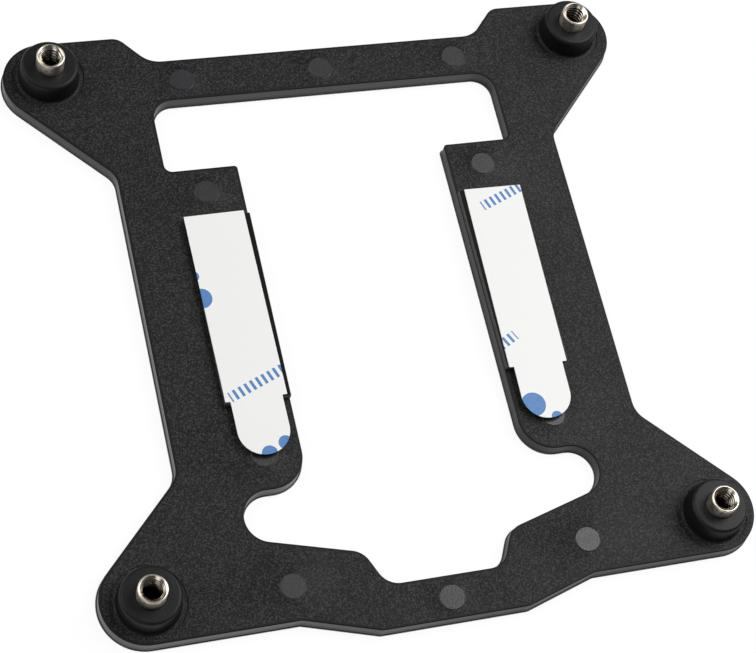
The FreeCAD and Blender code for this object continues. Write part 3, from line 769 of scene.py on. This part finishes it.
def makePad(side, materials):
    p = pad
    low, high = boxOf(f"foam_pad_{side}")
    # the left pad is stuck a little over the channel's edge
    low[0], high[0] = low[0] + p["shift"][side], high[0] + p["shift"][side]
    thick, middle = high[2] - low[2], (low[2] + high[2]) / 2
    stops = [(low[0], low[1]), (low[0], high[1]), (high[0], high[1]), (high[0], low[1])]
    stops = [(*stop, p["cornerRadius"]) for stop in stops]
    points, normals = roundedLoop(stops, p["arcStep"], p["runStep"])
    # pressed between the plate and the liner, the foam swells out a little, half a sine of
    # the level, and its edges are rounded as a quarter circle
    level = np.linspace(0, 1, p["levels"])
    nearEdge = np.clip((abs(2 * level - 1) - p["edgeFrom"]) / (1 - p["edgeFrom"]), 0, 1)
    rounded = p["edge"] * (1 - np.sqrt(1 - nearEdge ** 2))
    outward = p["bulge"] * (0.5 + 0.5 * np.sin(np.pi * level)) - rounded
    profile = [(-p["inset"], low[2]), *zip(outward, low[2] + thick * level), (-p["inset"], high[2])]
    walls, faces, finish, smooth = carried(points, normals, profile, cutSide)
    # cells along the cut leave it slightly uneven: a product of sines of the place along it
    along = np.tile(np.arange(len(points)), len(profile)) * p["runStep"]
    fine, slanted, coarse = p["waves"]
    wave = np.sin(along * fine) * np.sin(along * slanted + walls[:, 2] * p["waveClimb"])
    wave *= np.sin(along * coarse + 1)
    reached = abs(walls[:, 2] - middle) < thick * p["waveReach"]
    outwards = np.tile(normals, (len(profile), 1))
    walls[:, :2] += outwards * ((wave - 1) * np.where(reached, p["unevenness"], 0.0))[:, None]
    ring = points - normals * p["inset"]
    patches = [(walls, faces, finish, smooth)]
    patches += [levelFill([ring], z, filmFace, p["lattice"]) for z in (low[2], high[2])]
    piece = makePiece(f"cut_foam_{side}", patches, materials, f"foam_pad_{side}")


# Release liners

liner = {
    "width": 8.47, "length": 28.1, "tabWidth": 7.1, "tabLength": 8.05, "shift": 0.265,
    "rise": {"left": 0.3, "right": -0.15}, "turn": {"left": 0.6, "right": -1.0},
    "cornerRadius": 0.12, "runStep": 0.9, "edge": 0.02, "inset": 0.1, "lattice": 0.9,
    "tipGap": 0.001,  # keeps the tab's two quarter circles just apart
    "wave": 0.012, "waveAlong": 0.55, "waveAcross": 0.5, "waveFade": 4, "tabDip": 0.1,
}


def makeLiner(side):
    n = liner
    low, high = boxOf(f"release_liner_{side}")
    middle = sum(boxOf(f"foam_pad_{side}"))[:2] / 2
    centre = middle + np.array((math.copysign(n["shift"], middle[0]), n["rise"][side]))
    thick, angle = high[2] - low[2], math.radians(n["turn"][side])
    half, tab, end = n["width"] / 2, n["tabWidth"] / 2, n["length"] / 2
    # a rectangle with a narrower tab whose end is a half circle
    tip, small, big = end + n["tabLength"], n["cornerRadius"], tab - n["tipGap"]
    outline = [
        (-half, -end, small), (-half, end, small), (half, end, small), (half, -end, small),
        (tab, -end, small), (tab, -tip, big), (-tab, -tip, big), (-tab, -end, small),
    ]
    points, normals = roundedLoop(outline, runStep=n["runStep"])
    edge, inset = n["edge"], n["inset"]
    profile = [(-inset, 0.0), (-edge, 0.0), (0.0, edge)]
    profile += [(0.0, thick - edge), (-edge, thick), (-inset, thick)]
    ring = points - normals * inset
    patches = [carried(points, normals, profile)]
    patches += [levelFill([ring], height, spacing=n["lattice"]) for height in (0.0, thick)]

    def laid(flat):
        # gentle waves in the paper, and a tab that sinks a little towards its free end
        x, y, z = flat.T
        past = np.clip((-end - y) / n["tabLength"], 0, 1)
        wave = np.sin(y * n["waveAlong"] + 1) * np.sin(x * n["waveAcross"]) - 1
        sink = n["wave"] * wave * np.clip(past * n["waveFade"], 0, 1)
        z = low[2] + z + sink - n["tabDip"] * past ** 2
        turnedX = centre[0] + x * math.cos(angle) - y * math.sin(angle)
        turnedY = centre[1] + x * math.sin(angle) + y * math.cos(angle)
        return np.stack((turnedX, turnedY, z), 1)

    makePiece(f"paper_liner_{side}", patches, [linerPaper(side)], f"release_liner_{side}",
              bend=laid)


makeMoulding([sparkErodedPlastic(), groundPlastic("wall"), discPlastic(),
              groundPlastic("edge"), groundPlastic("boss")])
nickelFinishes = [turnedNickel(), boreNickel()]
for corner in corners:
    makeSleeve(corner, nickelFinishes)
foamFinishes = [closedCellFoam(), adhesiveFilm()]
for side in sides:
    makePad(side, foamFinishes)
    makeLiner(side)
print("pieces made")


# Floor, light and camera

studio = {
    "floorSize": 3.0, "floorDrop": 0.01, "floorColour": "#f2f2f1", "floorGlow": 0.92,
    "dimColour": "#595959", "mirroredGlow": 0.57,
    "coveredRadius": 2.6, "creviceReach": 0.27, "creviceDepth": 30.0, "creviceMirrored": 0.5,
    # where the floor's mirror image darkens, from and to, and by how much
    "shadeAcross": (-20.0, 10.0), "shadeAlong": (27.0, 23.0), "shadeBeyond": (23.5, 24.8),
    "shadeDepth": 0.38,
    "keyDirection": (0.62, 0.15, 0.77), "keyDistance": 0.7, "keySize": 0.46, "keyPower": 2.7,
    # glows of the room: direction, the cosines where each starts and is full, and its
    # strength outside and inside
    "glows": (
        ((0.62, 0.15, 0.77), 0.69, 0.97, 0.045, 0.79),  # pale, round the softbox
        ((-0.62, 0.32, 0.72), 0.84, 0.97, 0.0, 2.1),  # a smaller softbox behind the left side
        ((-0.49, -0.65, 0.58), 0.95, 0.98, 0.0, 1.0),  # a card, for the mouths' far sides
    ),
}


def makeFloor():
    # a white table, which the camera and reflections see partly by its own light, so that it
    # is white and yet keeps the object's shadow
    reach, level = studio["floorSize"] / 2, -studio["floorDrop"] * mm
    mesh = bpy.data.meshes.new("floor")
    square = ((-reach, -reach), (reach, -reach), (reach, reach), (-reach, reach))
    mesh.from_pydata([(x, y, level) for x, y in square], [], [(0, 1, 2, 3)])
    floor = bpy.data.objects.new("floor", mesh)
    bpy.context.scene.collection.objects.link(floor)
    material, tree, place = newMaterial("white table")
    rays = addNode(tree, "LightPath").outputs
    mirroredGlow, creviceMirrored, mirroredShade = (addNode(tree, "Math", {
        0: rays["Is Glossy Ray"], 1: studio[share],
    }, operation="MULTIPLY").outputs[0] for share in (
        "mirroredGlow", "creviceMirrored", "shadeDepth"))
    seen = rays["Is Camera Ray"]
    for other in (mirroredGlow, rays["Is Transmission Ray"]):
        seen = addNode(tree, "Math", {0: seen, 1: other}, operation="MAXIMUM").outputs[0]
    # no light under the four sleeves, whose bores would shine with it
    opened = addNode(tree, "Math", {
        0: fromAxis(tree, place)[1], 1: studio["coveredRadius"] * mm,
    }, operation="GREATER_THAN").outputs[0]
    # nor in the crevice right beside the plate's foot, except that a mirror image of it in
    # the plate's wall keeps half
    strength = addNode(tree, "AmbientOcclusion", {
        "Distance": studio["creviceReach"] * mm,
    }, samples=16).outputs["AO"]
    for other, operation in ((studio["creviceDepth"], "POWER"), (creviceMirrored, "MAXIMUM"),
                             (opened, "MULTIPLY"), (studio["floorGlow"], "MULTIPLY")):
        strength = addNode(tree, "Math", {0: strength, 1: other}, operation=operation).outputs[0]
    glow = addNode(tree, "Emission", {"Strength": strength}).outputs[0]
    plain = addNode(tree, "BsdfDiffuse", {"Color": linear(studio["floorColour"])}).outputs[0]
    dim = addNode(tree, "BsdfDiffuse", {"Color": linear(studio["dimColour"])}).outputs[0]
    bright = addNode(tree, "AddShader", {0: dim, 1: glow}).outputs[0]
    shader = addNode(tree, "MixShader", {0: seen, 1: plain, 2: bright}).outputs[0]
    # its mirror image is darker on the right, as if shaded there: across the channel and
    # below it, and past the window's right end
    apart = addNode(tree, "SeparateXYZ", {"Vector": place}).outputs
    shade, along, beyond = (addNode(tree, "MapRange", {
        "Value": apart[axis], "From Min": studio[ends][0] * mm, "From Max": studio[ends][1] * mm,
    }).outputs[0] for axis, ends in (
        ("X", "shadeAcross"), ("Y", "shadeAlong"), ("X", "shadeBeyond")))
    for other, operation in ((along, "MULTIPLY"), (beyond, "MAXIMUM"), (mirroredShade, "MULTIPLY")):
        shade = addNode(tree, "Math", {0: shade, 1: other}, operation=operation).outputs[0]
    shader = addNode(tree, "MixShader", {0: shade, 1: shader, 2: dim}).outputs[0]
    addNode(tree, "OutputMaterial", {"Surface": shader})
    mesh.materials.append(material)


def makeLight():
    # a softbox over the right side, and a pale room with glows in it that the camera sees as
    # plain white
    direction = Vector(studio["keyDirection"]).normalized()
    lamp = bpy.data.lights.new("softbox", "AREA")
    lamp.size = studio["keySize"]
    lamp.energy = studio["keyPower"]
    softbox = bpy.data.objects.new("softbox", lamp)
    softbox.location = direction * studio["keyDistance"]
    softbox.rotation_mode = "QUATERNION"
    softbox.rotation_quaternion = direction.to_track_quat("Z", "Y")
    bpy.context.scene.collection.objects.link(softbox)
    world = bpy.data.worlds.new("pale room")
    bpy.context.scene.world = world
    world.use_nodes = True
    tree = world.node_tree
    tree.nodes.clear()
    outwards = addNode(tree, "TexCoord").outputs["Generated"]
    level = 0.0
    for towards, start, full, outside, inside in studio["glows"]:
        facing = addNode(tree, "VectorMath", {
            0: outwards, 1: Vector(towards).normalized(),
        }, operation="DOT_PRODUCT").outputs["Value"]
        glow = addNode(tree, "MapRange", {
            "Value": facing, "From Min": start, "From Max": full,
            "To Min": outside, "To Max": inside,
        }, interpolation_type="SMOOTHSTEP").outputs[0]
        level = addNode(tree, "Math", {0: level, 1: glow}, operation="ADD").outputs[0]
    strength = addNode(tree, "Mix", {
        "Factor": addNode(tree, "LightPath").outputs["Is Camera Ray"], "A": level, "B": 1.0,
    }, data_type="FLOAT").outputs["Result"]
    sky = addNode(tree, "Background", {"Color": linear("#ffffff"), "Strength": strength})
    addNode(tree, "OutputWorld", {"Surface": sky.outputs[0]})


view = {
    "eye": (-78.65, -116.59, 253.40), "aim": (4.25, -7.05, 2.0), "roll": 26.4,
    "lens": 99.08, "sensor": 36.0, "shift": (-0.0517, 0.0103), "clip": (0.01, 10.0),
}


def makeCamera():
    # looks from the eye to the aim, rolled about that line
    data = bpy.data.cameras.new("camera")
    data.lens, data.sensor_width = view["lens"], view["sensor"]
    data.shift_x, data.shift_y = view["shift"]
    data.clip_start, data.clip_end = view["clip"]
    camera = bpy.data.objects.new("camera", data)
    eye, aim = Vector(view["eye"]) * mm, Vector(view["aim"]) * mm
    roll = Quaternion((0, 0, 1), math.radians(view["roll"]))
    camera.location = eye
    camera.rotation_mode = "QUATERNION"
    camera.rotation_quaternion = (aim - eye).to_track_quat("-Z", "Y") @ roll
    bpy.context.scene.collection.objects.link(camera)
    bpy.context.scene.camera = camera


makeFloor()
makeLight()
makeCamera()
bpy.context.scene.view_settings.view_transform = "Standard"
print("studio made")
